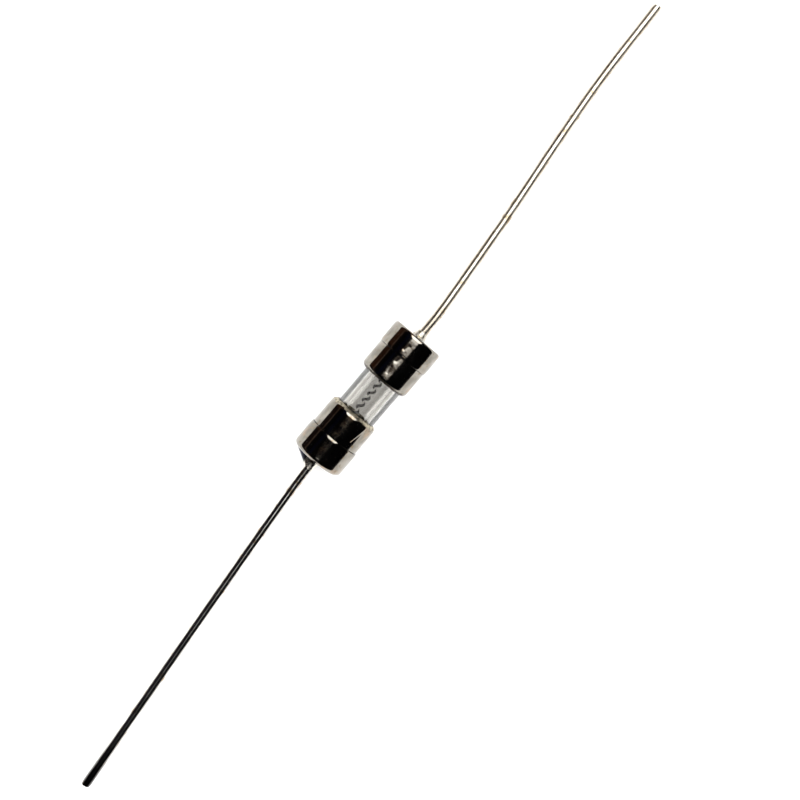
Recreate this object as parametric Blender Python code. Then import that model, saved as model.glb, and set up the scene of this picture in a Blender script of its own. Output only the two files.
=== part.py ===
"""A 3.6 x 10 mm glass cartridge fuse with axial leads, in thirteen separate pieces.

+X runs along the body towards the right lead, +Z is up, and the origin lies on the bench under
the middle of the body. The body rests on its two lead caps, and both lead tips touch the bench.

Each end is built as if it were the right one, in its own frame: x outwards from the middle of the
body, y aside, z up from the body's axis. The left end is the same frame turned half way round.
"""

import math

import bmesh
import bpy
from mathutils import Vector

MM = 0.001

# Glass tube
GLASS_RADIUS = 1.385 * MM
BORE_RADIUS = 1.06 * MM
GLASS_HALF_LENGTH = 4.30 * MM
GLASS_EDGE = 0.06 * MM
GLASS_ASIDE = -0.04 * MM

# Turned and drawn metal
LEAD_CAP_RADIUS = 1.82 * MM
LEAD_CAP_WALL = 0.10 * MM
LEAD_CAP_LIP = 0.04 * MM
LEAD_HOLE_RADIUS = 0.33 * MM
END_CAP_BORE = 1.44 * MM
END_CAP_FLOOR = 0.25 * MM
END_CAP_CHAMFER = 0.10 * MM
END_CAP_LIP = 0.05 * MM
FIT_GAP = 0.02 * MM

# Leads
WIRE_RADIUS = 0.30 * MM
HEAD_RADIUS = 0.85 * MM
HEAD_THICKNESS = 0.16 * MM
HEAD_SLOPE = 0.02 * MM
CUT_CHAMFER = 0.02 * MM
LEAD_STEP = 0.9 * MM

# Fuse element
CORE_RADIUS = 0.065 * MM
CORE_HALF_LENGTH = 4.45 * MM
HELIX_RADIUS = 0.13 * MM
HELIX_WIRE_RADIUS = 0.036 * MM
HELIX_PITCH = 0.55 * MM
HELIX_HALF_LENGTH = 4.40 * MM
HELIX_START = 2.6  # radians, at the middle of the body
ELEMENT_ASIDE = 0.03 * MM

# Solder inside the end caps
PLUG_NOSE = 0.20 * MM
PLUG_DOME = 0.30 * MM
PLUG_HOLE_RADIUS = 0.19 * MM

# How hollow the solder fillets are: 1 is a straight cone
FILLET_POWER = 1.5
FILLET_RINGS = 6

# Facets
CAP_SIDES = 40
PLUG_SIDES = 24
CORE_SIDES = 12
HELIX_STEPS = 14
HELIX_BEVEL = 1
LEAD_BEVEL = 6
ARC_STEPS = 4
SHARP_ANGLE = math.radians(40)
WELD = 1e-7

# What differs between the ends, in mm outwards from the middle of the body. A lead's route is
# (outwards, aside, height over the bench), and its last point is the cut tip.
ENDS = {
    "right": {
        "turn": 0.0,
        "end_cap_rim": 1.48,
        "end_cap_radius": 1.76,
        "end_cap_rounding": 0.38,
        "lead_cap_mouth": 3.45,
        "lead_cap_end": 5.09,
        "lead_cap_rounding": (0.14, 0.14),
        "fillet_radius": 0.44,
        "fillet_height": 0.63,
        "fillet_lean": 0.0,
        "aside_sign": 1,
        "route": (
            (6.9, 0.01, 1.81),
            (10.0, 0.27, 1.66),
            (15.0, 0.76, 1.40),
            (20.6, 1.41, 1.05),
            (25.3, 1.86, 0.74),
            (31.15, 2.13, 0.30),
        ),
    },
    "left": {
        "turn": math.pi,
        "end_cap_rim": 1.16,
        "end_cap_radius": 1.725,
        "end_cap_rounding": 0.36,
        "lead_cap_mouth": 3.25,
        "lead_cap_end": 5.20,
        "lead_cap_rounding": (0.34, 0.45),
        "fillet_radius": 1.05,
        "fillet_height": 0.72,
        "fillet_lean": -0.36,
        "aside_sign": -1,
        "route": (
            (5.95, 0.0, 1.82),
            (7.3, 0.07, 1.79),
            (12.8, 0.54, 1.52),
            (20.8, 1.28, 1.04),
            (27.4, 1.92, 0.60),
            (31.8, 2.34, 0.30),
        ),
    },
}


def clear_scene():
    for old in list(bpy.data.objects):
        bpy.data.objects.remove(old, do_unlink=True)


def material(name, colour, metallic, roughness, transmission=0.0):
    """A Principled material of one colour."""
    made = bpy.data.materials.new(name)
    made.use_nodes = True
    made.diffuse_color = (*colour, 1.0)
    shader = made.node_tree.nodes["Principled BSDF"]
    shader.inputs["Base Color"].default_value = (*colour, 1.0)
    shader.inputs["Metallic"].default_value = metallic
    shader.inputs["Roughness"].default_value = roughness
    shader.inputs["Transmission Weight"].default_value = transmission
    return made


def empty(name, location=(0, 0, 0), turn=0.0, parent=None):
    made = bpy.data.objects.new(name, None)
    made.location = location
    made.rotation_euler = (0, 0, turn)
    made.parent = parent
    bpy.context.scene.collection.objects.link(made)
    return made


def place(name, data, finish, parent):
    made = bpy.data.objects.new(name, data)
    made.parent = parent
    data.materials.append(finish)
    bpy.context.scene.collection.objects.link(made)
    return made


def arc(centre, radii, start, end, steps=ARC_STEPS):
    """Points (x, radius) on part of an ellipse about centre, from start to end in degrees."""
    points = []
    for i in range(steps + 1):
        angle = math.radians(start + (end - start) * i / steps)
        x = centre[0] + radii[0] * math.cos(angle)
        r = centre[1] + radii[1] * math.sin(angle)
        points.append((x, r))
    return points


def turned(name, outline, sides, finish, parent, ring=True):
    """A body turned about the X axis. A ring's outline closes on itself; any other outline starts
    and ends on the axis."""
    shape = bmesh.new()
    verts = [shape.verts.new((x, 0, r)) for x, r in outline]
    edges = [shape.edges.new(pair) for pair in zip(verts, verts[1:])]
    if ring:
        edges.append(shape.edges.new((verts[-1], verts[0])))
    bmesh.ops.spin(
        shape,
        geom=verts + edges,
        axis=(1, 0, 0),
        cent=(0, 0, 0),
        angle=math.tau,
        steps=sides,
        use_merge=True,
    )
    bmesh.ops.remove_doubles(shape, verts=shape.verts, dist=WELD)
    bmesh.ops.recalc_face_normals(shape, faces=shape.faces)
    mesh = bpy.data.meshes.new(name)
    shape.to_mesh(mesh)
    shape.free()
    mesh.shade_smooth()
    mesh.set_sharp_from_angle(angle=SHARP_ANGLE)
    return place(name, mesh, finish, parent)


def shift_aside(body, how_far):
    """Moves each vertex along Y by how_far(x, radius)."""
    for vertex in body.data.vertices:
        x, y, z = vertex.co
        vertex.co.y += how_far(x, math.hypot(y, z))


def wire(name, points, radii, radius, resolution, finish, parent):
    """A round wire through the points, each with its own radius, with flat ends."""
    data = bpy.data.curves.new(name, "CURVE")
    data.dimensions = "3D"
    data.bevel_depth = radius
    data.bevel_resolution = resolution
    data.use_fill_caps = True
    data.render_resolution_u = 0
    spline = data.splines.new("POLY")
    spline.points.add(len(points) - 1)
    for target, point, own_radius in zip(spline.points, points, radii):
        target.co = (*point, 1.0)
        target.radius = own_radius / radius
    spline.use_smooth = True
    return place(name, data, finish, parent)


def smooth_route(knots, step):
    """Points about step apart on a smooth curve through the knots."""
    slopes = []
    for i, knot in enumerate(knots):
        before = knots[max(i - 1, 0)]
        after = knots[min(i + 1, len(knots) - 1)]
        slopes.append((after - before) / (after.x - before.x))
    points = []
    for i in range(len(knots) - 1):
        start, end = knots[i], knots[i + 1]
        run = end.x - start.x
        count = max(1, round(run / step))
        for j in range(count):
            t = j / count
            points.append(
                start * (2 * t**3 - 3 * t**2 + 1)
                + slopes[i] * run * (t**3 - 2 * t**2 + t)
                + end * (3 * t**2 - 2 * t**3)
                + slopes[i + 1] * run * (t**3 - t**2)
            )
    points.append(knots[-1])
    return points


def lead_cap_floor(end):
    """The inner face of the lead cap's end wall."""
    return end["lead_cap_end"] * MM - LEAD_CAP_WALL


def end_cap_face(end):
    """The end cap's outer end face, just behind the lead's head."""
    return lead_cap_floor(end) - HEAD_THICKNESS - 2 * FIT_GAP


def glass_tube(finish, parent):
    """A plain tube with every edge rounded. Each corner is (x side, radius, first angle)."""
    outline = []
    for x_side, radius, start in (
        (1, GLASS_RADIUS - GLASS_EDGE, 90),
        (1, BORE_RADIUS + GLASS_EDGE, 0),
        (-1, BORE_RADIUS + GLASS_EDGE, -90),
        (-1, GLASS_RADIUS - GLASS_EDGE, -180),
    ):
        centre = (x_side * (GLASS_HALF_LENGTH - GLASS_EDGE), radius)
        outline += arc(centre, (GLASS_EDGE, GLASS_EDGE), start, start - 90, steps=2)
    tube = turned("glass_tube", outline, CAP_SIDES, finish, parent)
    tube.location.y = GLASS_ASIDE
    return tube


def end_cap(side, end, finish, parent):
    """A cup over the tube's end, with a rounded rim and a lower seat for the lead cap."""
    rim = end["end_cap_rim"] * MM
    radius = end["end_cap_radius"] * MM
    rounding = end["end_cap_rounding"] * MM
    seat = LEAD_CAP_RADIUS - LEAD_CAP_WALL - FIT_GAP
    shoulder = end["lead_cap_mouth"] * MM - FIT_GAP
    face = end_cap_face(end)
    outline = [(face - END_CAP_FLOOR, 0), (face - END_CAP_FLOOR, END_CAP_BORE), (rim, END_CAP_BORE)]
    lip = END_CAP_BORE + END_CAP_LIP
    outline += arc((rim + rounding, lip), (rounding, radius - lip), 180, 90)
    outline += [(shoulder, radius), (shoulder, seat)]
    outline += [(face - END_CAP_CHAMFER, seat), (face, seat - END_CAP_CHAMFER), (face, 0)]
    return turned(f"end_cap_{side}", outline, CAP_SIDES, finish, parent, ring=False)


def lead_cap(side, end, finish, parent):
    """A thin drawn cup with the lead's hole in its end wall. Its rounding is (along, across)."""
    mouth = end["lead_cap_mouth"] * MM
    outer_end = end["lead_cap_end"] * MM
    floor = lead_cap_floor(end)
    along, across = (size * MM for size in end["lead_cap_rounding"])
    inner = LEAD_CAP_RADIUS - LEAD_CAP_WALL
    inner_along = along - LEAD_CAP_WALL
    inner_across = across - LEAD_CAP_WALL
    outline = [(floor, LEAD_HOLE_RADIUS)]
    outline += arc(
        (floor - inner_along, inner - inner_across), (inner_along, inner_across), 0, 90, steps=3
    )
    outline += [(mouth, inner), (mouth, LEAD_CAP_RADIUS - LEAD_CAP_LIP)]
    outline += [(mouth + LEAD_CAP_LIP, LEAD_CAP_RADIUS)]
    outline += arc((outer_end - along, LEAD_CAP_RADIUS - across), (along, across), 90, 0)
    outline += [(outer_end, LEAD_HOLE_RADIUS)]
    return turned(f"lead_cap_{side}", outline, CAP_SIDES, finish, parent)


def solder_plug(side, end, finish, parent):
    """Solder in the end cap and the end of the bore, with a hole where the element goes in."""
    back = end_cap_face(end) - END_CAP_FLOOR - FIT_GAP
    front = GLASS_HALF_LENGTH + FIT_GAP
    flange = GLASS_RADIUS - FIT_GAP
    nose = BORE_RADIUS - 2 * FIT_GAP
    outline = [(back, PLUG_HOLE_RADIUS), (back, flange), (front, flange), (front, nose)]
    outline += arc(
        (front - PLUG_NOSE, PLUG_HOLE_RADIUS), (PLUG_DOME, nose - PLUG_HOLE_RADIUS), 90, 180
    )
    plug = turned(f"solder_plug_{side}", outline, PLUG_SIDES, finish, parent)
    hole_aside = ELEMENT_ASIDE * end["aside_sign"]
    body_aside = GLASS_ASIDE * end["aside_sign"]
    shift_aside(plug, lambda x, r: hole_aside if r < PLUG_HOLE_RADIUS + FIT_GAP else body_aside)
    return plug


def lead_route(end):
    """The lead's centre line, from its head inside the lead cap to its cut tip."""
    head = lead_cap_floor(end) - FIT_GAP - HEAD_THICKNESS
    knots = [Vector((head + HEAD_THICKNESS + HEAD_SLOPE, 0, 0))]
    for outwards, aside, height in end["route"]:
        knots.append(Vector((outwards * MM, aside * MM, height * MM - LEAD_CAP_RADIUS)))
    route = smooth_route(knots, LEAD_STEP)
    return [Vector((head, 0, 0)), Vector((head + HEAD_THICKNESS, 0, 0))] + route


def lead_wire(side, end, finish, parent):
    """The lead: a round wire with a flat head, cut off square at its tip."""
    points = lead_route(end)
    tip = points[-1]
    along = (tip - points[-2]).normalized()
    points.insert(-1, tip - along * CUT_CHAMFER)
    radii = [HEAD_RADIUS, HEAD_RADIUS] + [WIRE_RADIUS] * (len(points) - 3)
    radii += [WIRE_RADIUS - CUT_CHAMFER]
    return wire(f"lead_wire_{side}", points, radii, WIRE_RADIUS, LEAD_BEVEL, finish, parent)


def solder_fillet(side, end, finish, parent):
    """Solder run up the lead from the lead cap's face. The left one leans to one side."""
    start = end["lead_cap_end"] * MM + FIT_GAP
    height = end["fillet_height"] * MM
    base = end["fillet_radius"] * MM
    lean = end["fillet_lean"] * MM
    inner = WIRE_RADIUS + FIT_GAP
    thin = inner + 2 * FIT_GAP
    outline = [(start, inner)]
    for i in range(FILLET_RINGS + 1):
        t = i / FILLET_RINGS
        outline.append((start + height * t, thin + (base - thin) * (1 - t) ** FILLET_POWER))
    outline.append((start + height, inner))
    fillet = turned(f"solder_fillet_{side}", outline, PLUG_SIDES, finish, parent)
    shift_aside(
        fillet,
        lambda x, r: lean * (1 - (x - start) / height) if r > inner + FIT_GAP else 0.0,
    )
    return fillet


def element_core(finish, parent):
    half = CORE_HALF_LENGTH
    outline = [(-half, 0), (-half, CORE_RADIUS), (half, CORE_RADIUS), (half, 0)]
    core = turned("element_core", outline, CORE_SIDES, finish, parent, ring=False)
    core.location.y = ELEMENT_ASIDE
    return core


def fuse_wire(finish, parent):
    """The fine wire, wound round the core as a right-handed helix."""
    turns = 2 * HELIX_HALF_LENGTH / HELIX_PITCH
    count = round(turns * HELIX_STEPS)
    points = []
    for i in range(count + 1):
        x = -HELIX_HALF_LENGTH + 2 * HELIX_HALF_LENGTH * i / count
        angle = HELIX_START + math.tau * x / HELIX_PITCH
        points.append((x, HELIX_RADIUS * math.cos(angle), HELIX_RADIUS * math.sin(angle)))
    radii = [HELIX_WIRE_RADIUS] * len(points)
    coil = wire("fuse_wire", points, radii, HELIX_WIRE_RADIUS, HELIX_BEVEL, finish, parent)
    coil.location.y = ELEMENT_ASIDE
    return coil


def main():
    clear_scene()
    glass = material("clear_glass", (0.93, 0.95, 0.94), 0.0, 0.03, transmission=1.0)
    nickel = material("nickel_plate", (0.66, 0.63, 0.58), 1.0, 0.20)
    tin = material("tinned_copper", (0.72, 0.70, 0.67), 1.0, 0.28)
    solder = material("solder", (0.60, 0.58, 0.55), 1.0, 0.35)
    element = material("fuse_alloy", (0.55, 0.50, 0.44), 1.0, 0.30)
    fibre = material("glass_fibre", (0.85, 0.83, 0.78), 0.0, 0.60)

    axis = empty("body_axis", location=(0, 0, LEAD_CAP_RADIUS))
    glass_tube(glass, axis)
    element_core(fibre, axis)
    fuse_wire(element, axis)
    for side, end in ENDS.items():
        frame = empty(f"{side}_end", turn=end["turn"], parent=axis)
        end_cap(side, end, nickel, frame)
        lead_cap(side, end, nickel, frame)
        solder_plug(side, end, solder, frame)
        lead_wire(side, end, tin, frame)
        solder_fillet(side, end, solder, frame)


main()
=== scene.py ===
"""Looks of a small glass cartridge fuse with axial leads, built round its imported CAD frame.

+X runs along the body towards the right lead and +Z is up, as in the frame. Each end is built as
if it were the right one: x outwards from the middle of the body, and side is 1 or -1.
"""

import math

import bmesh
import bpy
from mathutils import Matrix, Vector, noise


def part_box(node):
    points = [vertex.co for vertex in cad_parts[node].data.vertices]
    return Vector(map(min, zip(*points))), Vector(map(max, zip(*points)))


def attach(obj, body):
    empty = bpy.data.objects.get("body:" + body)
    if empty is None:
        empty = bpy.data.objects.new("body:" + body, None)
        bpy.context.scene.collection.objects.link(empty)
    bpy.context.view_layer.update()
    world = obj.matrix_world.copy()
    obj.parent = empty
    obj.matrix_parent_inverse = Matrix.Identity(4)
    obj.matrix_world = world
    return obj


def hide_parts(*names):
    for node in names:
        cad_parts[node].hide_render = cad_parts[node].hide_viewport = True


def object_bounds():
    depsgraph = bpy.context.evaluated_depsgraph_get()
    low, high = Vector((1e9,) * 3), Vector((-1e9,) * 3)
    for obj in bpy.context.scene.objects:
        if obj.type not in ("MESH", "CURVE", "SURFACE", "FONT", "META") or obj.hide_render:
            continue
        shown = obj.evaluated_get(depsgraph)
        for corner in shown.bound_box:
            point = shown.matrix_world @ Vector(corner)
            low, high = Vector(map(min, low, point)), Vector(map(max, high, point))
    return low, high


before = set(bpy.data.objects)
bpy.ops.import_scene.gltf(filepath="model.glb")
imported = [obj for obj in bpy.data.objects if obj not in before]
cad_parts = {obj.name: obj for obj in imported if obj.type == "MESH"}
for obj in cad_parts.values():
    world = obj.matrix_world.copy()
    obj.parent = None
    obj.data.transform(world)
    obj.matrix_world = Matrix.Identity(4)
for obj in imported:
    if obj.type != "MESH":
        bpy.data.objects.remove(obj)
cad_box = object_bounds()

MM = 0.001

# Camera and staging
CAMERA_PLACE = Vector((6.8, -1.665, 102.0)) * MM
CAMERA_TARGET = Vector((1.27, -1.665, 1.8)) * MM
CAMERA_UP = Vector((0.7616, 0.648, 0.0))
CAMERA_LENS = 70.45
FLOOR_RADIUS = 220 * MM
FLOOR_SIDES = 96

# Walls and gaps that the frame's boxes don't tell
WALL = 0.10 * MM
GAP = 0.02 * MM
BORE_RADIUS = 1.06 * MM
GLASS_EDGE = 0.09 * MM
TUBE_CLEARANCE = 0.055 * MM
RIM_WALL = 0.045 * MM
RIM_EDGE = 0.022 * MM
FACE_DEPTH = 0.25 * MM
FACE_CHAMFER = 0.10 * MM
LIP = (0.21 * MM, 0.045 * MM)
TIGHTEST_BEND = 0.06 * MM
WIRE_RADIUS = 0.30 * MM
WIRE_CLEARANCE = 0.03 * MM
TIP_CHAMFER = 0.03 * MM
HEAD_RADIUS = 0.85 * MM
HEAD_THICKNESS = 0.16 * MM
HELIX_RADIUS = 0.13 * MM
HELIX_WIRE_RADIUS = 0.09 * MM
HELIX_PITCH = 0.55 * MM
HELIX_START = 2.6  # radians, at the middle of the body
YARN_LAY = 0.62 * MM
YARN_LOBES = 3
YARN_LOBE = 0.1  # of the core's radius

# Facets
CAP_SIDES = 288
GLASS_SIDES = 160
PLUG_SIDES = 64
FILLET_SIDES = 72
WIRE_SIDES = 32
HELIX_SIDES = 12
YARN_SIDES = 24
ARC_STEPS = 12
EDGE_STEPS = 6
DISH_STEPS = 20
FILLET_STEPS = 28
HELIX_STEPS = 28  # to a turn
YARN_STEPS = 440
CAP_STEP = 0.03 * MM
FACE_STEP = 0.1 * MM
WIRE_STEP = 0.25 * MM
HIDDEN_STEP = 0.3 * MM
MERGE = 0.00001 * MM
CREASE = math.radians(50)

# What differs between the ends:
# edge, edge_width: the colour and the mean width in mm of the worn rim of the end cap
# corner: the lead cap's outer corner, as (along, across)
# shoulder: the end cap's bend radius, and its cone's slope in degrees
# fillet_height, fillet_reach, fillet_hollow: the solder's height up the lead, its reach towards
#     +Y, towards -Y and up or down, and the exponents of its fall towards +Y and elsewhere
# solder_gloss, wire_gloss: the least roughness of each
# wire_tones: the colours of the wire's bright lines, dull lines and spots
# cut_slant: the slope of the lead's cut across the wire
# route: the lead's points as (outwards, aside, height over the bench) in mm, up to its cut tip
ENDS = {
    "right": {
        "side": 1,
        "edge": (0.07, 0.055, 0.04),
        "edge_width": 0.12,
        "corner": (0.24 * MM, 0.15 * MM),
        "shoulder": (0.28 * MM, 60),
        "fillet_height": 0.45 * MM,
        "fillet_reach": (0.50 * MM, 0.44 * MM, 0.46 * MM),
        "fillet_hollow": (0.8, 0.8),
        "solder_gloss": 0.38,
        "wire_gloss": 0.27,
        "wire_tones": ((0.72, 0.67, 0.58), (0.52, 0.45, 0.35), (0.34, 0.25, 0.14)),
        "cut_slant": 1 / 6,
        "route": (
            (6.9, 0.01, 1.81),
            (10.0, 0.27, 1.66),
            (15.0, 0.76, 1.40),
            (20.6, 1.41, 1.05),
            (25.3, 1.86, 0.74),
            (31.15, 2.13, 0.30),
        ),
    },
    "left": {
        "side": -1,
        "edge": (0.54, 0.485, 0.355),
        "edge_width": 0.17,
        "corner": (0.36 * MM, 0.45 * MM),
        "shoulder": (0.36 * MM, 55),
        "fillet_height": 0.72 * MM,
        "fillet_reach": (1.50 * MM, 0.62 * MM, 0.50 * MM),
        "fillet_hollow": (1.2, 4.5),
        "solder_gloss": 0.18,
        "wire_gloss": 0.10,
        "wire_tones": ((0.78, 0.75, 0.71), (0.46, 0.44, 0.41), (0.36, 0.25, 0.14)),
        "cut_slant": 0.1,
        "route": (
            (5.95, 0.0, 1.82),
            (7.3, 0.07, 1.79),
            (12.8, 0.54, 1.52),
            (20.8, 1.28, 1.04),
            (27.4, 1.92, 0.60),
            (31.8, 2.34, 0.30),
        ),
    },
}


def middle(node):
    low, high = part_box(node)
    return (low + high) / 2


AXIS = middle("lead_cap_right").z


def outwards(node, side):
    """(nearest, farthest) of a node's ends from the middle of the body, along its own side."""
    low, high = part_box(node)
    return tuple(sorted((side * low.x, side * high.x)))


def radius_of(node):
    low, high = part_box(node)
    return (high.y - low.y) / 2


# ---- Mesh tools ----


def arc(centre, radii, start, end, steps=ARC_STEPS):
    """Points (x, radius) on part of an ellipse about centre, from start to end in degrees."""
    points = []
    for i in range(steps + 1):
        angle = math.radians(start + (end - start) * i / steps)
        x = centre[0] + radii[0] * math.cos(angle)
        points.append((x, centre[1] + radii[1] * math.sin(angle)))
    return points


def run(start, end, step=CAP_STEP):
    """Points from start to end, both included, no more than step apart."""
    count = max(1, math.ceil(math.dist(start, end) / step))
    points = []
    for i in range(count + 1):
        t = i / count
        points.append((start[0] + (end[0] - start[0]) * t, start[1] + (end[1] - start[1]) * t))
    return points


def finished(name, shape, finish, nodes):
    """An object from a bmesh, shaded smooth, riding on the body in place of the nodes."""
    bmesh.ops.remove_doubles(shape, verts=shape.verts, dist=MERGE)
    bmesh.ops.recalc_face_normals(shape, faces=shape.faces)
    mesh = bpy.data.meshes.new(name)
    shape.to_mesh(mesh)
    shape.free()
    mesh.shade_smooth()
    mesh.set_sharp_from_angle(angle=CREASE)
    mesh.materials.append(finish)
    piece = bpy.data.objects.new(name, mesh)
    bpy.context.scene.collection.objects.link(piece)
    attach(piece, "root")
    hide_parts(*nodes)
    return piece


def bridge(shape, rings, ring):
    """Faces between neighbouring rings of vertices, and from the last to the first on a ring."""
    pairs = list(zip(rings, rings[1:]))
    if ring:
        pairs.append((rings[-1], rings[0]))
    for near, far in pairs:
        count = max(len(near), len(far))
        for i in range(count):
            j = (i + 1) % count
            corners = [near[i % len(near)], near[j % len(near)], far[j % len(far)], far[i % len(far)]]
            shape.faces.new(list(dict.fromkeys(corners)))


def turned(outline, sides, relief, side=1, centre_y=0.0, ring=True):
    """A bmesh turned about the body's axis. relief(x, angle, radius) gives a point's new radius.
    Angles run from +Z towards +Y."""
    shape = bmesh.new()
    rings = []
    for x, r in outline:
        if r < MERGE:
            rings.append([shape.verts.new((side * x, centre_y, AXIS))])
            continue
        verts = []
        for i in range(sides):
            angle = math.tau * i / sides
            lifted = relief(side * x, angle, r)
            y = centre_y + lifted * math.sin(angle)
            verts.append(shape.verts.new((side * x, y, AXIS + lifted * math.cos(angle))))
        rings.append(verts)
    bridge(shape, rings, ring)
    return shape


def tube(centres, radii, sides, section=None):
    """A bmesh of a closed tube round the centres. section(i, angle) scales the radius."""
    shape = bmesh.new()
    ahead = (centres[1] - centres[0]).normalized()
    across = ahead.orthogonal().normalized()
    rings = []
    for i, centre in enumerate(centres):
        before = centres[max(i - 1, 0)]
        after = centres[min(i + 1, len(centres) - 1)]
        ahead = (after - before).normalized()
        across = (across - ahead * across.dot(ahead)).normalized()
        other = ahead.cross(across)
        verts = []
        for k in range(sides):
            angle = math.tau * k / sides
            r = radii[i] * (section(i, angle) if section else 1.0)
            place = centre + across * (r * math.cos(angle)) + other * (r * math.sin(angle))
            verts.append(shape.verts.new(place))
        rings.append(verts)
    first = shape.verts.new(centres[0])
    last = shape.verts.new(centres[-1])
    bridge(shape, [[first]] + rings + [[last]], ring=False)
    return shape


# ---- Relief of the caps: handling waves and dents ----

# Waves as (size, height)
WAVES = ((1.1 * MM, 0.0040 * MM), (0.42 * MM, 0.0018 * MM), (0.2 * MM, 0.0006 * MM))

# Dents and ridges as ((x, angle), (x, angle), half width, height), with angles in degrees from
# +Z towards +Y. A ridge stands out and a dent goes in.
MARKS = (
    ((-2.72 * MM, -33.5), (-1.56 * MM, -43.0), 0.062 * MM, 0.026 * MM),
    ((3.05 * MM, 3.0), (3.40 * MM, -1.0), 0.10 * MM, -0.010 * MM),
    ((3.95 * MM, 6.0), (4.30 * MM, 2.0), 0.09 * MM, -0.006 * MM),
    ((2.15 * MM, 2.0), (2.60 * MM, 4.0), 0.07 * MM, -0.005 * MM),
    ((1.95 * MM, 58.0), (2.75 * MM, 63.0), 0.07 * MM, -0.008 * MM),
    ((2.30 * MM, -70.0), (2.90 * MM, -64.0), 0.08 * MM, -0.008 * MM),
    ((-2.20 * MM, -62.0), (-1.90 * MM, -70.0), 0.10 * MM, -0.008 * MM),
    ((-3.9 * MM, 120.0), (-4.3 * MM, 128.0), 0.15 * MM, -0.010 * MM),
    ((4.2 * MM, 205.0), (3.7 * MM, 214.0), 0.12 * MM, -0.010 * MM),
    ((2.2 * MM, 160.0), (2.4 * MM, 168.0), 0.10 * MM, -0.008 * MM),
    ((-2.6 * MM, 230.0), (-2.1 * MM, 222.0), 0.12 * MM, -0.008 * MM),
)


def mark_height(x, angle, r):
    """The sum of the marks near a point of a cap's surface."""
    total = 0.0
    for (x0, a0), (x1, a1), half_width, height in MARKS:
        if not min(x0, x1) - 4 * half_width < x < max(x0, x1) + 4 * half_width:
            continue
        turn = (angle - math.radians(a0) + math.pi) % math.tau - math.pi
        start = Vector((x - x0, turn * r))
        length = Vector((x1 - x0, math.radians(a1 - a0) * r))
        share = min(max(start.dot(length) / length.length_squared, 0.0), 1.0)
        away = (start - length * share).length / half_width
        total += height * math.exp(-away * away)
    return total


def handled(skin):
    """A relief for the surface outside the radius skin: slow waves and the marks."""

    def relief(x, angle, r):
        if r < skin:
            return r
        place = Vector((x, r * math.sin(angle), r * math.cos(angle)))
        lift = mark_height(x, angle, r)
        for size, height in WAVES:
            lift += height * noise.noise(place / size)
        return r + lift

    return relief


# ---- Pieces ----


def glass_tube(finish):
    """A drawn tube with fire-polished ends, whose wall wanders by a few micrometres."""
    outer = radius_of("glass_tube")
    half = outwards("glass_tube", 1)[1]
    outline = []
    for x_side, radius, start in (
        (1, outer - GLASS_EDGE, 90),
        (1, BORE_RADIUS + GLASS_EDGE, 0),
        (-1, BORE_RADIUS + GLASS_EDGE, -90),
        (-1, outer - GLASS_EDGE, -180),
    ):
        centre = (x_side * (half - GLASS_EDGE), radius)
        corner = arc(centre, (GLASS_EDGE, GLASS_EDGE), start, start - 90, EDGE_STEPS)
        if outline:
            outline += run(outline[-1], corner[0], HIDDEN_STEP)[1:-1]
        outline += corner
    outline += run(outline[-1], outline[0], HIDDEN_STEP)[1:-1]

    def relief(x, angle, r):
        wander = noise.noise(Vector((x / (6 * MM), 2 * math.sin(angle), 2 * math.cos(angle))))
        return r + 0.003 * MM * wander

    shape = turned(outline, GLASS_SIDES, relief, centre_y=middle("glass_tube").y)
    return finished("glass_tube_drawn", shape, finish, ["glass_tube"])


def end_cap(name, end, finish):
    """A drawn cup over the tube's end: a rounded shoulder, a short cone and a thin rim."""
    side = end["side"]
    rim, face = outwards(f"end_cap_{name}", side)
    mouth = outwards(f"lead_cap_{name}", side)[0]
    radius = radius_of(f"end_cap_{name}")
    bore = radius_of("glass_tube") + TUBE_CLEARANCE
    seat = radius_of(f"lead_cap_{name}") - WALL - GAP
    bend, slope = end["shoulder"]
    turn = math.radians(slope)
    rim_radius = bore + RIM_WALL
    cone_drop = radius - rim_radius - bend * (1 - math.cos(turn))
    cone = cone_drop / math.tan(turn)
    start = rim + cone + bend * math.sin(turn)
    shoulder = arc((start, radius - bend), (bend, bend), 90 + slope, 90)
    edge = arc((rim + RIM_EDGE, bore + RIM_EDGE), (RIM_EDGE, RIM_EDGE), 270, 125, EDGE_STEPS)
    outline = run((face - FACE_DEPTH, 0.0), (face - FACE_DEPTH, bore), HIDDEN_STEP)
    outline += run(outline[-1], edge[0], HIDDEN_STEP)[1:-1] + edge
    outline += run(edge[-1], shoulder[0])[1:-1] + shoulder
    outline += run(shoulder[-1], (mouth - GAP, radius))[1:]
    outline += run((mouth - GAP, seat), (face - FACE_CHAMFER, seat), HIDDEN_STEP)
    outline += run((face, seat - FACE_CHAMFER), (face, 0.0), HIDDEN_STEP)
    shape = turned(outline, CAP_SIDES, handled(bore + 0.06 * MM), side, ring=False)
    return finished(f"end_cap_{name}_drawn", shape, finish, [f"end_cap_{name}"])


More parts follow.
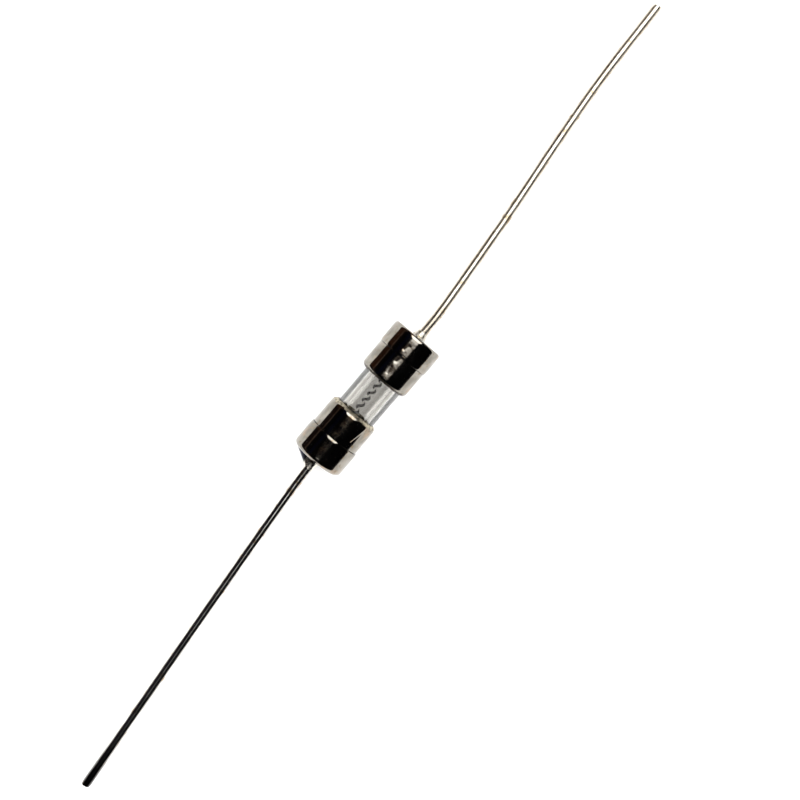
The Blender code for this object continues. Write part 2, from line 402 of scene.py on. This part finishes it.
def lead_cap(name, end, finish):
    """A thin drawn cup pushed over the end cap, its mouth rolled in, with the lead's hole."""
    side = end["side"]
    mouth, outer = outwards(f"lead_cap_{name}", side)
    radius = radius_of(f"lead_cap_{name}")
    inner = radius - WALL
    hole = WIRE_RADIUS + WIRE_CLEARANCE
    along, across = end["corner"]
    bend = (along - WALL, max(across - WALL, TIGHTEST_BEND))
    lip = arc((mouth + LIP[0], radius - LIP[1]), LIP, 180, 90)
    corner = arc((outer - along, radius - across), (along, across), 90, 0)
    inside = arc((outer - along, radius - across), bend, 0, 90)
    outline = lip + run(lip[-1], corner[0])[1:-1] + corner
    outline += run(corner[-1], (outer, hole), FACE_STEP)[1:]
    outline += run((outer - WALL, hole), inside[0], FACE_STEP)[:-1] + inside
    outline += run(inside[-1], (mouth, inner), HIDDEN_STEP)[1:]
    shape = turned(outline, CAP_SIDES, handled(inner + 0.01 * MM), side)
    return finished(f"lead_cap_{name}_drawn", shape, finish, [f"lead_cap_{name}"])


def solder_plug(name, end, finish):
    """Solder set in the cap and up the bore, with a dished, lumpy front round the element."""
    side = end["side"]
    nose_end, back = outwards(f"solder_plug_{name}", side)
    front = outwards("glass_tube", 1)[1] + GAP
    flange = radius_of("glass_tube") - GAP
    nose = BORE_RADIUS - 2 * GAP
    hole = HELIX_RADIUS + HELIX_WIRE_RADIUS + GAP / 2
    outline = run((back, hole), (back, flange), FACE_STEP)
    outline += run((front, flange), (front, nose), FACE_STEP)
    dish = 0.35 * (front - nose_end)
    outline += arc((nose_end + dish, hole), (dish, nose - hole), 90, 180, DISH_STEPS)

    def relief(x, angle, r):
        if r < hole + GAP or side * x > front - GAP:
            return r
        place = Vector((x, r * math.sin(angle), r * math.cos(angle)))
        return r + min(0.0, 0.05 * MM * noise.noise(place / (0.4 * MM)) - 0.02 * MM)

    shape = turned(outline, PLUG_SIDES, relief, side, centre_y=middle("glass_tube").y)
    return finished(f"solder_plug_{name}_set", shape, finish, [f"solder_plug_{name}"])


def solder_fillet(name, end, finish):
    """Solder drawn up the lead from the cap's face, hollow in profile and a little lumpy. It
    reaches a different way towards +Y, towards -Y and up or down."""
    side = end["side"]
    start = outwards(f"lead_cap_{name}", side)[1] + GAP
    height = end["fillet_height"]
    ahead, behind, upwards = end["fillet_reach"]
    gentle, steep = end["fillet_hollow"]
    thin = WIRE_RADIUS + GAP
    core = WIRE_RADIUS + GAP / 2
    skin = run((start, ahead), (start + height, ahead), height / FILLET_STEPS)
    outline = run((start, core), skin[0], FACE_STEP / 2)[:-1] + skin + [(start + height, core)]

    def relief(x, angle, r):
        """The outside falls from the cap to the wire, gently towards +Y and steeply elsewhere."""
        if r < thin:
            return r
        sine, cosine = math.sin(angle), math.cos(angle)
        foot = 1 / math.hypot(sine / (ahead if sine > 0 else behind), cosine / upwards)
        rise = min(max((side * x - start) / height, 0.0), 1.0)
        fall = (1 - rise) ** (gentle + (steep - gentle) * (1 - max(sine, 0.0)))
        lump = 0.035 * MM * noise.noise(Vector((x, sine * r, cosine * r)) / (0.35 * MM))
        share = (r - thin) / (ahead - thin)
        return thin + share * max(0.0, (foot - thin) * fall + lump * (1 - rise))

    shape = turned(outline, FILLET_SIDES, relief, side)
    nodes = [f"solder_fillet_{name}"]
    return finished(f"solder_fillet_{name}_set", shape, finish, nodes)


def smooth_route(knots, step):
    """Points about step apart on a smooth curve through the knots."""
    slopes = []
    for i in range(len(knots)):
        before = knots[max(i - 1, 0)]
        after = knots[min(i + 1, len(knots) - 1)]
        slopes.append((after - before) / (after.x - before.x))
    points = []
    for i in range(len(knots) - 1):
        start, end = knots[i], knots[i + 1]
        reach = end.x - start.x
        count = max(1, round(reach / step))
        for j in range(count):
            t = j / count
            points.append(
                start * (2 * t**3 - 3 * t**2 + 1)
                + slopes[i] * reach * (t**3 - 2 * t**2 + t)
                + end * (3 * t**2 - 2 * t**3)
                + slopes[i + 1] * reach * (t**3 - t**2)
            )
    points.append(knots[-1])
    return points


def lead_wire(name, end, finish):
    """The lead: an upset head inside the cap, a drawn wire, and a sheared tip."""
    side = end["side"]
    head = outwards(f"lead_wire_{name}", side)[0]
    knots = [Vector((head + HEAD_THICKNESS + GAP, 0, AXIS))]
    for x, aside, height in end["route"]:
        knots.append(Vector((x, aside, height)) * MM)
    route = smooth_route(knots, WIRE_STEP)
    centres = [Vector((head + depth, 0, AXIS)) for depth in (0, GAP, HEAD_THICKNESS)]
    radii = [HEAD_RADIUS - GAP, HEAD_RADIUS, HEAD_RADIUS]
    for point in route[:-1]:
        wander = noise.noise(Vector((point.x / (1.3 * MM), side, 0)))
        radii.append(WIRE_RADIUS * (1 + 0.012 * wander))
    radii.append(WIRE_RADIUS - TIP_CHAMFER)
    placed = [Vector((side * c.x, side * c.y, c.z)) for c in centres + route]
    shape = tube(placed, radii, WIRE_SIDES)
    tip = placed[-1]
    for vert in shape.verts:
        if (vert.co - tip).length < WIRE_RADIUS:
            across = (vert.co.y - tip.y) * side + WIRE_RADIUS
            vert.co.x -= side * end["cut_slant"] * across
    nodes = [f"lead_wire_{name}"]
    return finished(f"lead_wire_{name}_drawn", shape, finish, nodes)


def fuse_wire(finish):
    """The fine wire, wound round the core with a slightly uneven pitch."""
    half = outwards("fuse_wire", 1)[1]
    centre = middle("fuse_wire")
    count = round(2 * half / HELIX_PITCH * HELIX_STEPS)
    centres = []
    for i in range(count + 1):
        x = -half + 2 * half * i / count
        drift = 0.35 * noise.noise(Vector((x / (0.9 * MM), 0.3, 0)))
        angle = HELIX_START + math.tau * x / HELIX_PITCH + drift
        y = centre.y + HELIX_RADIUS * math.cos(angle)
        centres.append(Vector((x, y, AXIS + HELIX_RADIUS * math.sin(angle))))
    shape = tube(centres, [HELIX_WIRE_RADIUS] * len(centres), HELIX_SIDES)
    return finished("fuse_wire_wound", shape, finish, ["fuse_wire"])


def element_core(finish):
    """The core as a twisted yarn: its section has lobes that turn along its length."""
    half = outwards("element_core", 1)[1]
    centre = middle("element_core")
    radius = radius_of("element_core")
    centres = []
    for i in range(YARN_STEPS + 1):
        x = -half + 2 * half * i / YARN_STEPS
        centres.append(Vector((x, centre.y, AXIS)))

    def section(i, angle):
        turn = angle + math.tau * centres[i].x / YARN_LAY
        return 1 - YARN_LOBE + YARN_LOBE * math.cos(YARN_LOBES * turn)

    shape = tube(centres, [radius] * len(centres), YARN_SIDES, section)
    return finished("element_core_yarn", shape, finish, ["element_core"])


# ---- Materials ----

# Colours, linear. Tones are the two that a material's cloudiness runs between.
PLATE_TONES = ((0.290, 0.271, 0.237), (0.195, 0.180, 0.154))
TARNISH = (0.36, 0.25, 0.16)
BARE_BRASS = (0.17, 0.115, 0.055)
# Painted shade: a near-black line along the seam between the lead cap and the end cap
SEAM_SHADE = (0.01, 0.008, 0.006)
# Painted shade towards the left lead's tip
TIP_SHADE = (0.02, 0.02, 0.02)
SOLDER_TONES = ((0.76, 0.73, 0.66), (0.60, 0.56, 0.48))
FROSTED = (0.40, 0.35, 0.28)
FLUX = (0.26, 0.21, 0.11)
# Painted reflection of the dark ceiling on the +Y side of the left fillet
FILLET_DARK_REFLECTION = (0.030, 0.032, 0.048)
GLASS_TONES = ((0.735, 0.725, 0.70), (0.69, 0.68, 0.655))
# Painted shade on the glass's outside where it is seen on edge
GLASS_EDGE_SHADE = (0.015, 0.015, 0.014)
ALLOY_TONES = ((0.003, 0.002, 0.002), (0.010, 0.008, 0.006))
YARN_TONES = ((0.60, 0.59, 0.56), (0.42, 0.40, 0.37))
FLOOR_TONES = ((0.86, 0.86, 0.855), (0.84, 0.84, 0.835))

# Where the painted shade towards the left lead's tip and the painted dark reflection on the left
# fillet fade, in mm
TIP_SHADE_X = (-31.5, -27.0)
FILLET_REFLECTION_X = (-5.3, -5.1)
FILLET_REFLECTION_Y = (0.38, 0.60)


class Nodes:
    """Short calls for a node tree."""

    def __init__(self, tree):
        self.tree = tree

    def add(self, kind, **inputs):
        node = self.tree.nodes.new("ShaderNode" + kind)
        for name, value in inputs.items():
            self.feed(node, name.replace("_", " "), value)
        return node

    def feed(self, node, name, value):
        if isinstance(value, bpy.types.NodeSocket):
            self.tree.links.new(value, node.inputs[name])
        else:
            node.inputs[name].default_value = value

    def math(self, operation, *values):
        node = self.tree.nodes.new("ShaderNodeMath")
        node.operation = operation
        for i, value in enumerate(values):
            self.feed(node, i, value)
        return node.outputs[0]

    def between(self, value, low, high, out_low=0.0, out_high=1.0):
        """value eased from out_low at low to out_high at high."""
        node = self.tree.nodes.new("ShaderNodeMapRange")
        node.interpolation_type = "SMOOTHSTEP"
        for i, number in enumerate((value, low, high, out_low, out_high)):
            self.feed(node, i, number)
        return node.outputs[0]

    def mix(self, factor, first, second):
        node = self.tree.nodes.new("ShaderNodeMix")
        node.data_type = "RGBA"
        self.feed(node, 0, factor)
        self.feed(node, 6, first if isinstance(first, bpy.types.NodeSocket) else (*first, 1.0))
        self.feed(node, 7, second if isinstance(second, bpy.types.NodeSocket) else (*second, 1.0))
        return node.outputs[2]

    def place(self, stretch=(1, 1, 1)):
        """Object coordinates in mm, each axis scaled by stretch."""
        coordinates = self.tree.nodes.new("ShaderNodeTexCoord").outputs["Object"]
        mapping = self.tree.nodes.new("ShaderNodeMapping")
        self.feed(mapping, "Vector", coordinates)
        mapping.inputs["Scale"].default_value = [s / MM for s in stretch]
        return mapping.outputs[0]

    def grain(self, scale, detail=2.0, stretch=(1, 1, 1), distortion=0.0):
        """Noise with scale cells to the mm."""
        node = self.add("TexNoise", Vector=self.place(stretch), Scale=scale, Detail=detail)
        node.inputs["Distortion"].default_value = distortion
        return node.outputs[0]

    def axes(self):
        """The object coordinates x, y and z in mm."""
        return self.add("SeparateXYZ", Vector=self.place()).outputs

    def product(self, *factors):
        total = factors[0]
        for factor in factors[1:]:
            total = self.math("MULTIPLY", total, factor)
        return total

    def bump(self, height, distance, strength, normal=None):
        node = self.add("Bump", Height=height, Distance=distance, Strength=strength)
        if normal:
            self.feed(node, "Normal", normal)
        return node.outputs[0]


def material(name, **inputs):
    """A Principled material: (its nodes, its shader, itself)."""
    made = bpy.data.materials.new(name)
    made.use_nodes = True
    shader = made.node_tree.nodes["Principled BSDF"]
    for key, value in inputs.items():
        shader.inputs[key.replace("_", " ")].default_value = value
    return Nodes(made.node_tree), shader, made


def from_axis(n):
    """The distance from the body's axis in mm."""
    _, y, z = n.axes()
    height = n.math("SUBTRACT", z, AXIS / MM)
    square = n.math("MULTIPLY_ADD", y, y, n.math("MULTIPLY", height, height))
    return n.math("SQRT", square)


def nickel(name, rim, seam, end):
    """Bright nickel plate over brass: warm grey, with brown tarnish, specks and fine draw marks.
    It is dull and worn near x = rim, in the end's edge colour, and painted shade lies in a thin dark
    line along x = seam."""
    n, shader, made = material(f"nickel_plate_{name}", Metallic=1.0)
    cloud = n.grain(1.3, detail=4.0)
    base = n.mix(n.between(cloud, 0.35, 0.65), *PLATE_TONES)
    tarnish = n.between(n.grain(0.9, detail=5.0, distortion=0.6), 0.56, 0.70)
    base = n.mix(n.math("MULTIPLY", tarnish, 0.55), base, TARNISH)
    specks = n.between(n.grain(5.0, detail=4.0), 0.57, 0.68)
    base = n.mix(n.math("MULTIPLY", specks, 0.65), base, BARE_BRASS)
    x = n.axes()[0]
    near_rim = n.math("ABSOLUTE", n.math("SUBTRACT", x, rim / MM))
    ragged = n.math("MULTIPLY_ADD", n.grain(5.0, detail=3.0), 0.22, end["edge_width"] - 0.11)
    worn = n.between(n.math("SUBTRACT", near_rim, ragged), 0.0, 0.06, 1.0, 0.0)
    flecks = n.between(n.grain(6.0, detail=3.0), 0.42, 0.56)
    shaded = [0.3 * c for c in end["edge"]]
    base = n.mix(n.math("MULTIPLY", worn, 0.9), base, n.mix(flecks, shaded, end["edge"]))
    near_seam = n.math("ABSOLUTE", n.math("SUBTRACT", x, seam / MM))
    # Painted shade: a thin near-black line along the seam, standing in for the shade in the gap and
    # dimming the lip's reflection
    base = n.mix(n.between(near_seam, 0.015, 0.030, 0.95, 0.0), base, SEAM_SHADE)
    n.feed(shader, "Base Color", base)
    smear = n.grain(2.2, detail=3.0, stretch=(0.4, 1, 1))
    gloss = n.between(smear, 0.3, 0.75, 0.05, 0.13)
    n.feed(shader, "Roughness", n.math("MULTIPLY_ADD", worn, 0.38, gloss))
    lines = n.grain(14.0, detail=2.0, stretch=(1, 0.05, 0.05))
    pits = n.grain(5.0, detail=4.0)
    normal = n.bump(pits, 0.0016 * MM, 0.8)
    normal = n.bump(lines, 0.0004 * MM, 0.5, normal)
    n.feed(shader, "Normal", normal)
    return made


def tin(name, gloss, tones):
    """Hot-tinned copper wire: uneven, with draw lines along the wire and dull spots. The left
    lead has painted shade: its colour goes nearly black towards its tip."""
    n, shader, made = material(f"tinned_wire_{name}", Metallic=1.0)
    lines = n.grain(9.0, detail=3.0, stretch=(0.02, 1, 1))
    blots = n.grain(1.6, detail=4.0)
    bright, dull, spot = tones
    base = n.mix(n.between(lines, 0.3, 0.7), bright, dull)
    base = n.mix(n.between(blots, 0.56, 0.68, 0.0, 0.8), base, spot)
    # Painted shade: the left lead's colour goes nearly black towards its tip
    base = n.mix(n.between(n.axes()[0], *TIP_SHADE_X, 0.85, 0.0), base, TIP_SHADE)
    n.feed(shader, "Base Color", base)
    n.feed(shader, "Roughness", n.between(blots, 0.3, 0.7, gloss, gloss + 0.09))
    normal = n.bump(lines, 0.0015 * MM, 0.4)
    normal = n.bump(n.grain(2.2, detail=3.0), 0.006 * MM, 0.5, normal)
    n.feed(shader, "Normal", normal)
    return made


def solder(name, gloss):
    """Set solder: grey, softly lumpy and finely frosted, with flux spots. The +Y side of the left
    fillet has a painted reflection of the dark ceiling: its colour goes blue-black there."""
    n, shader, made = material(f"solder_set_{name}", Metallic=1.0)
    frost = n.grain(12.0, detail=4.0)
    flow = n.grain(2.5, detail=3.0)
    base = n.mix(n.between(flow, 0.3, 0.7), *SOLDER_TONES)
    base = n.mix(n.between(frost, 0.55, 0.8, 0.0, 0.4), base, FROSTED)
    flux = n.between(n.grain(3.2, detail=2.0), 0.54, 0.64)
    base = n.mix(n.math("MULTIPLY", flux, 0.8), base, FLUX)
    x, y, _ = n.axes()
    # Painted reflection: the +Y side of the left fillet is coloured blue-black
    dark_reflection = n.product(n.between(y, *FILLET_REFLECTION_Y), n.between(x, *FILLET_REFLECTION_X, 1.0, 0.0))
    n.feed(shader, "Base Color", n.mix(dark_reflection, base, FILLET_DARK_REFLECTION))
    n.feed(shader, "Roughness", n.between(frost, 0.3, 0.7, gloss, gloss + 0.18))
    normal = n.bump(flow, 0.012 * MM, 0.5)
    normal = n.bump(frost, 0.002 * MM, 0.5, normal)
    n.feed(shader, "Normal", normal)
    return made


def glass():
    """Clear soda-lime glass with faint draw streaks and a trace of dust. Its outside has painted
    shade: its colour goes nearly black where it is seen on edge."""
    n, shader, made = material("clear_glass_tube", IOR=1.52, Transmission_Weight=1.0)
    streaks = n.grain(3.0, detail=2.0, stretch=(0.03, 1, 1))
    clear = n.mix(streaks, *GLASS_TONES)
    # Painted shade: the outside's colour goes nearly black where the glass is seen on edge, standing
    # in for its grey edges
    facing = n.add("LayerWeight", Blend=0.5).outputs["Facing"]
    outside = n.between(from_axis(n), 1.15, 1.25)
    edge = n.math("MULTIPLY", n.between(facing, 0.28, 0.42), outside)
    n.feed(shader, "Base Color", n.mix(edge, clear, GLASS_EDGE_SHADE))
    dust = n.between(n.grain(7.0, detail=3.0), 0.62, 0.78)
    n.feed(shader, "Roughness", n.math("MULTIPLY", dust, 0.08))
    n.feed(shader, "Normal", n.bump(streaks, 0.003 * MM, 0.35))
    return made


def fuse_alloy():
    """Oxidised fine wire: nearly black, with rubbed spots a little brighter."""
    n, shader, made = material("fuse_alloy_wire", Metallic=1.0)
    spots = n.grain(6.0, detail=3.0)
    n.feed(shader, "Base Color", n.mix(spots, *ALLOY_TONES))
    n.feed(shader, "Roughness", n.between(spots, 0.3, 0.7, 0.40, 0.55))
    n.feed(shader, "Normal", n.bump(n.grain(14.0), 0.001 * MM, 0.4))
    return made


def glass_fibre():
    """Glass-fibre yarn: off-white, with fine filaments that follow the twist."""
    n, shader, made = material("glass_fibre_yarn", Specular_IOR_Level=0.6)
    strands = n.grain(22.0, detail=2.0, stretch=(0.15, 1, 1))
    n.feed(shader, "Base Color", n.mix(strands, *YARN_TONES))
    n.feed(shader, "Roughness", n.between(strands, 0.3, 0.7, 0.45, 0.65))
    n.feed(shader, "Normal", n.bump(strands, 0.004 * MM, 0.6))
    return made


def opal():
    """The floor: a matt opal sheet with a barely visible tooth, lit softly from below."""
    n, shader, made = material(
        "pale_opal",
        Roughness=0.85,
        Specular_IOR_Level=0.1,
        Emission_Color=(1.0, 1.0, 1.0, 1.0),
        Emission_Strength=0.35,
    )
    tooth = n.grain(1.5, detail=4.0)
    n.feed(shader, "Base Color", n.mix(tooth, *FLOOR_TONES))
    return made


# ---- Stage ----

# The surround ends between these heights (z) of a direction, and the box and lamps start at OVERHEAD
HORIZON = (-0.02, 0.02)
OVERHEAD = 0.1

# The soft box's middle along the ceiling, and 1 over its half length there
BOX_MIDDLE = 0.5
BOX_SCALE = 1.72

# The studio's colours, linear
SURROUND = (1.0, 0.985, 0.96)
CEILING = (0.003, 0.003, 0.004)
EMBERS = ((0.020, 0.013, 0.012), (0.065, 0.028, 0.016))
STRIP = (0.23, 0.17, 0.14)
COOL = (0.004, 0.005, 0.016)
TAIL = (0.16, 0.13, 0.105)
LAMP = (1.4, 1.4, 1.4)
SOFTBOX = (4.4, 4.4, 4.4)
WHITE = (1.0, 1.0, 1.0)

# (name, place, size, power) of each area light, in metres and watts
LIGHTS = (
    ("key", (0.03, 0.0, 0.36), 0.40, 0.80),
    ("fill", (-0.08, -0.04, 0.45), 0.90, 0.80),
    ("left", (0.0, 0.38, 0.12), 0.16, 0.45),
    ("right", (0.0, -0.38, 0.12), 0.16, 0.45),
)


def side_colour(n, x, y, z):
    """The dark ceiling, with a warm low part, a pale strip in it and a cool band towards +Y."""
    left = n.between(y, 0.2, 0.4)
    ember = n.mix(n.between(x, -0.08, -0.04), *EMBERS)
    warm = n.product(n.between(z, 0.35, 0.60, 1.0, 0.0), left)
    strip = n.product(n.between(z, 0.41, 0.43), n.between(z, 0.45, 0.47, 1.0, 0.0), left)
    cool = n.product(n.between(y, 0.42, 0.50), n.between(y, 0.60, 0.70, 1.0, 0.0))
    colour = n.mix(warm, CEILING, ember)
    colour = n.mix(strip, colour, STRIP)
    return n.mix(cool, colour, COOL)


def off_box(n, along, lean):
    """0 in the middle of a rounded box that widens along +X, and 1 at its edge."""
    middle_off = n.math("MULTIPLY_ADD", along, BOX_SCALE, -BOX_SCALE * BOX_MIDDLE)
    half_width = n.math("MULTIPLY_ADD", along, 0.30, 0.36)
    side_off = n.math("DIVIDE", lean, half_width)
    return n.math("ADD", n.math("POWER", middle_off, 4.0), n.math("POWER", side_off, 4.0))


def softbox(n, along, lean, off):
    """The part of the rounded box beyond a slanting front edge."""
    skew = n.math("MULTIPLY_ADD", along, -10.0, lean)
    front = n.product(n.between(along, -0.073, 0.073), n.between(skew, 0.32, 0.48, 1.0, 0.0))
    return n.product(front, n.between(off, 0.7, 1.3, 1.0, 0.0))


def lamp(n, along, lean):
    """A small lamp over the left end that fades outwards, with a faint second one beyond it."""
    glow = n.math("POWER", n.between(along, -0.42, -0.20), 2.0)
    glow = n.math("MULTIPLY_ADD", n.between(along, -0.51, -0.47), 0.12, glow)
    across = n.product(n.between(lean, -0.28, -0.20), n.between(lean, 0.00, 0.08, 1.0, 0.0))
    return n.product(glow, n.between(along, -0.21, -0.16, 1.0, 0.0), across)


def world_light():
    """A studio by direction: a white surround below the horizon, a dark ceiling, a soft box over
    the right end with a faint tail beside it, and a lamp over the left end. The camera itself sees
    white. along and lean are a direction's place on a flat ceiling, towards +X and +Y."""
    world = bpy.data.worlds.new("studio")
    bpy.context.scene.world = world
    world.use_nodes = True
    n = Nodes(world.node_tree)
    background = world.node_tree.nodes["Background"]
    x, y, z = n.add("SeparateXYZ", Vector=n.add("TexCoord").outputs["Generated"]).outputs
    height = n.math("MAXIMUM", z, 0.02)
    along = n.math("DIVIDE", x, height)
    lean = n.math("DIVIDE", y, height)
    off = off_box(n, along, lean)
    overhead = n.math("GREATER_THAN", z, OVERHEAD)
    tail = n.product(n.between(along, -0.094, -0.080), n.between(off, 0.7, 1.6, 1.0, 0.0))
    colour = side_colour(n, x, y, z)
    colour = n.mix(n.product(tail, overhead), colour, TAIL)
    colour = n.mix(n.product(lamp(n, along, lean), overhead), colour, LAMP)
    colour = n.mix(n.between(z, *HORIZON, 1.0, 0.0), colour, SURROUND)
    colour = n.mix(n.product(softbox(n, along, lean, off), overhead), colour, SOFTBOX)
    seen = n.add("LightPath").outputs["Is Camera Ray"]
    n.feed(background, "Color", n.mix(seen, colour, WHITE))


def area_light(name, place, size, power):
    """A soft light, aimed at the body, that shows in no reflection."""
    data = bpy.data.lights.new(name, "AREA")
    data.shape = "DISK"
    data.size = size
    data.energy = power
    light = bpy.data.objects.new(name, data)
    light.location = place
    ahead = Vector((0, 0, AXIS)) - Vector(place)
    light.rotation_euler = ahead.to_track_quat("-Z", "Y").to_euler()
    light.visible_glossy = False
    bpy.context.scene.collection.objects.link(light)


def floor(finish):
    mesh = bpy.data.meshes.new("floor")
    shape = bmesh.new()
    bmesh.ops.create_circle(shape, cap_ends=True, segments=FLOOR_SIDES, radius=FLOOR_RADIUS)
    shape.to_mesh(mesh)
    shape.free()
    mesh.materials.append(finish)
    made = bpy.data.objects.new("floor", mesh)
    made.location.z = cad_box[0].z - 0.01 * MM
    bpy.context.scene.collection.objects.link(made)


def camera():
    data = bpy.data.cameras.new("camera")
    data.lens = CAMERA_LENS
    data.sensor_width = 36.0
    data.clip_start = 1 * MM
    data.clip_end = 10.0
    made = bpy.data.objects.new("camera", data)
    ahead = (CAMERA_TARGET - CAMERA_PLACE).normalized()
    right = ahead.cross(CAMERA_UP).normalized()
    up = right.cross(ahead)
    turn = Matrix((right, up, -ahead)).transposed().to_4x4()
    made.matrix_world = Matrix.Translation(CAMERA_PLACE) @ turn
    bpy.context.scene.collection.objects.link(made)
    bpy.context.scene.camera = made


def main():
    camera()
    glass_tube(glass())
    fuse_wire(fuse_alloy())
    element_core(glass_fibre())
    for name, end in ENDS.items():
        rim = end["side"] * outwards(f"end_cap_{name}", end["side"])[0]
        seam = end["side"] * outwards(f"lead_cap_{name}", end["side"])[0]
        plate = nickel(name, rim, seam, end)
        joint = solder(name, end["solder_gloss"])
        wire = tin(name, end["wire_gloss"], end["wire_tones"])
        end_cap(name, end, plate)
        lead_cap(name, end, plate)
        solder_plug(name, end, joint)
        solder_fillet(name, end, joint)
        lead_wire(name, end, wire)
    floor(opal())
    world_light()
    for name, place, size, power in LIGHTS:
        area_light(name, place, size, power)
    bpy.context.scene.view_settings.view_transform = "Standard"


main()
